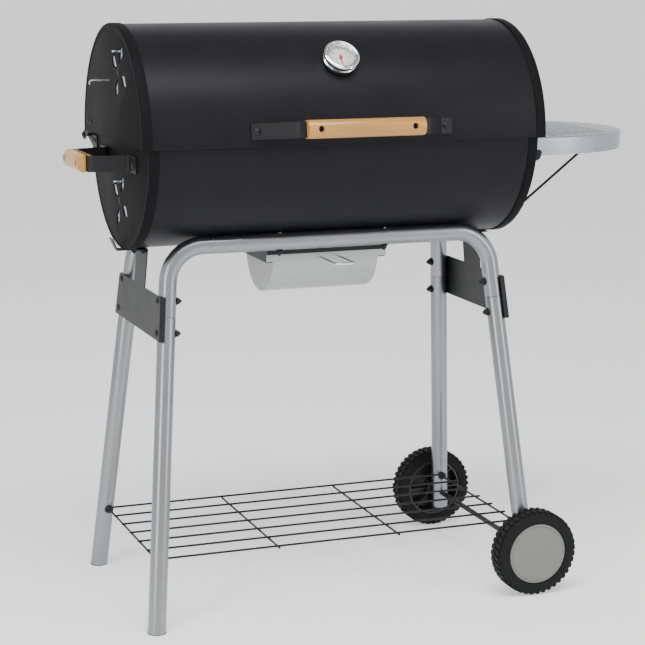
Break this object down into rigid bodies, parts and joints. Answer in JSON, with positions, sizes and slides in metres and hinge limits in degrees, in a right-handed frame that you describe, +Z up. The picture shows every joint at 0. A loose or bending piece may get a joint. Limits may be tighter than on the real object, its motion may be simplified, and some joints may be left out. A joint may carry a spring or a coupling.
{
  "type": "barrel charcoal grill",
  "caption": "Free-standing barrel charcoal grill trolley: hinged half-drum lid, splayed tube legs, wire shelf, wheels, ash drawer, folding side table.",
  "frame": {"origin": "ground level at the middle of the overall box", "axes": "+Z up, +X along the barrel towards the side table and the wheels, -Y towards the front with the lid handle"},
  "size_m": [1.0716, 0.533, 1.0514],
  "materials": {
    "enamel": "satin black enamel",
    "end_enamel": "matt black enamel",
    "black_steel": "black powder coat",
    "silver": "silver lacquer",
    "galvanised": "galvanised sheet",
    "ash_grey": "light grey satin paint",
    "wood": "clear varnished light hardwood",
    "rubber": "moulded tread",
    "plastic": "black moulded plastic",
    "cap_grey": "grey satin plastic",
    "chrome": "bright plated",
    "dial": "printed dial plate",
    "red": "red lacquer",
    "glass": "clear"
  },
  "bodies": {
    "stand": {"top_tube_front": "silver", "top_tube_rear": "silver", "leg_front_left": "silver", "leg_front_right": "silver", "leg_rear_left": "silver", "leg_rear_right": "silver", "foot_plug_front": "plastic", "foot_plug_rear": "plastic", "axle": "black_steel", "end_bracket_left": "black_steel", "end_bracket_right": "black_steel", "tool_hook": "black_steel", "wire_shelf": "black_steel", "bowl_shell": "enamel", "bowl_end_left": "end_enamel", "bowl_end_right": "end_enamel", "bowl_shutter_pin": "black_steel", "hinge_bracket_left": "black_steel", "hinge_bracket_right": "black_steel", "side_handle_strap": "black_steel", "side_handle_grip": "wood", "side_handle_grip_back": "wood", "grate_ledge_front": "black_steel", "grate_ledge_rear": "black_steel", "cooking_grate_left": "black_steel", "cooking_grate_right": "black_steel", "charcoal_grate": "black_steel", "ash_rails": "black_steel", "table_bracket_front": "black_steel", "table_bracket_rear": "black_steel", "strut_clip_front": "black_steel", "strut_clip_rear": "black_steel"},
    "lid": {"lid_shell": "enamel", "lid_end_left": "end_enamel", "lid_end_right": "end_enamel", "lid_shutter_pin": "black_steel", "lid_peg": "galvanised", "lid_ear_left": "black_steel", "lid_ear_right": "black_steel", "lid_handle_strap": "black_steel", "lid_handle_grip": "wood", "lid_handle_grip_back": "wood", "gauge_case": "chrome", "gauge_stem": "galvanised", "gauge_dial": "dial", "gauge_glass": "glass"},
    "needle": {"gauge_needle": "red"},
    "lid_vent": {"lid_shutter": "galvanised"},
    "bowl_vent": {"bowl_shutter": "galvanised"},
    "wheel_front": {"wheel_front": "plastic", "tyre_front": "rubber", "hubcap_front": "cap_grey"},
    "wheel_rear": {"wheel_rear": "plastic", "tyre_rear": "rubber", "hubcap_rear": "cap_grey"},
    "ash_drawer": {"ash_drawer": "ash_grey", "ash_handle": "chrome"},
    "side_table": {"side_table": "galvanised", "strut_catch": "galvanised"},
    "table_strut": {"table_strut": "black_steel"}
  },
  "joints": [
    {"name": "lid_hinge", "type": "hinge", "parent": "stand", "child": "lid", "pos_m": [-0.08215, 0.2219, 0.836], "axis": [-1, 0, 0], "range_deg": [0, 95]},
    {"name": "needle_turn", "type": "hinge", "parent": "lid", "child": "needle", "pos_m": [-0.08615, -0.14615, 0.9931], "axis": [0, 0.7361, -0.6769], "range_deg": [0, 270]},
    {"name": "lid_vent_turn", "type": "hinge", "parent": "lid", "child": "lid_vent", "pos_m": [-0.45915, -0.0451, 0.97], "axis": [1, 0, 0], "range_deg": [0, 18]},
    {"name": "bowl_vent_turn", "type": "hinge", "parent": "stand", "child": "bowl_vent", "pos_m": [-0.44555, 0.0099, 0.738], "axis": [1, 0, 0], "range_deg": [0, 18]},
    {"name": "wheel_front_spin", "type": "hinge", "parent": "stand", "child": "wheel_front", "pos_m": [0.27185, -0.2251, 0.08], "axis": [0, 1, 0], "continuous": true},
    {"name": "wheel_rear_spin", "type": "hinge", "parent": "stand", "child": "wheel_rear", "pos_m": [0.27185, 0.2449, 0.08], "axis": [0, 1, 0], "continuous": true},
    {"name": "ash_drawer_slide", "type": "slide", "parent": "stand", "child": "ash_drawer", "axis": [0, -1, 0], "range_m": [0, 0.15]},
    {"name": "table_fold", "type": "hinge", "parent": "stand", "child": "side_table", "pos_m": [0.29785, 0.0099, 0.814], "axis": [0, 1, 0], "range_deg": [0, 90]},
    {"name": "strut_fold", "type": "hinge", "parent": "stand", "child": "table_strut", "pos_m": [0.28785, 0.0099, 0.7035], "axis": [0, 1, 0], "range_deg": [0, 126]}
  ],
  "couplings": [
    {"joint": "strut_fold", "follows": "table_fold", "ratio": 1.394}
  ]
}
